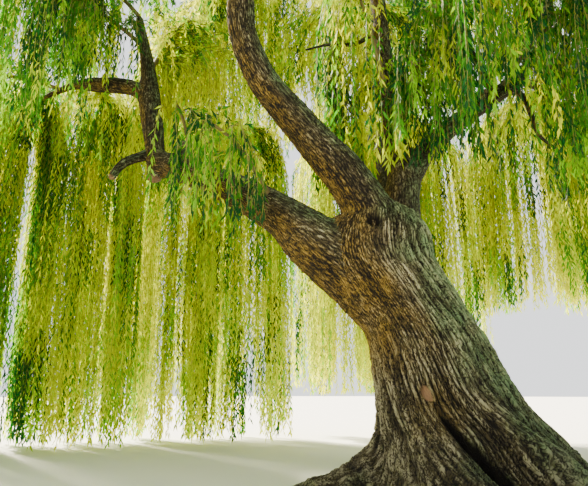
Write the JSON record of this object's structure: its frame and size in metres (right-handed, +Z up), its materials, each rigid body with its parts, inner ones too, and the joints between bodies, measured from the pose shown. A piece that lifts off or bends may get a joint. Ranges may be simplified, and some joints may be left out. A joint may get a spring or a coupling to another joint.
{
  "type": "weeping willow tree",
  "caption": "Weeping willow with a leaning, root-flared trunk that forks low and long curtains of foliage hanging round an open space.",
  "frame": {"origin": "middle of the flat cut under the trunk, at ground level", "axes": "+Z up; +X to the right and +Y away for a viewer who sees the trunk lean to the left"},
  "size_m": [15.9934, 15.4903, 11.816],
  "materials": {
    "bark": "rough, deeply furrowed bark",
    "foliage": "thin soft leaves that let light through"
  },
  "bodies": {
    "root": {"trunk": "bark", "left_limb": "bark", "curved_bough": "bark", "leader": "bark", "right_bough": "bark", "left_upright_bough": "bark", "left_side_bough": "bark", "low_left_branch": "bark", "left_back_bough": "bark", "back_bough": "bark", "thin_branch": "bark", "right_hooked_branch": "bark", "right_rising_bough": "bark", "right_outer_bough": "bark", "front_right_bough": "bark", "front_bough": "bark", "front_left_bough": "bark", "high_back_left_bough": "bark", "high_back_right_bough": "bark", "curtain_left_end": "foliage", "curtain_left": "foliage", "curtain_back_left": "foliage", "curtain_back_inner": "foliage", "curtain_back": "foliage", "curtain_back_right": "foliage", "curtain_right_back": "foliage", "curtain_right": "foliage", "curtain_right_side": "foliage", "curtain_front_right_side": "foliage", "curtain_front_right": "foliage", "curtain_front_right_end": "foliage", "curtain_front": "foliage", "curtain_front_left": "foliage", "curtain_left_front": "foliage", "curtain_left_side": "foliage", "curtain_left_outer": "foliage", "tier_left": "foliage", "tier_back_left": "foliage", "tier_back_right": "foliage", "tier_right": "foliage", "tier_front_right": "foliage", "tier_front": "foliage", "tier_front_left": "foliage", "tier_far_left": "foliage", "crest_right": "foliage", "crest_back": "foliage", "crest_left": "foliage", "crest_front_left": "foliage", "crest_front_right": "foliage", "crest_top": "foliage", "spray_left_limb": "foliage", "spray_leader": "foliage", "spray_right_bough": "foliage", "tier_upright": "foliage", "tier_back": "foliage", "spray_upright": "foliage", "spray_middle": "foliage", "spray_over_limb": "foliage", "spray_rising": "foliage", "crest_far_left": "foliage"}
  },
  "joints": []
}
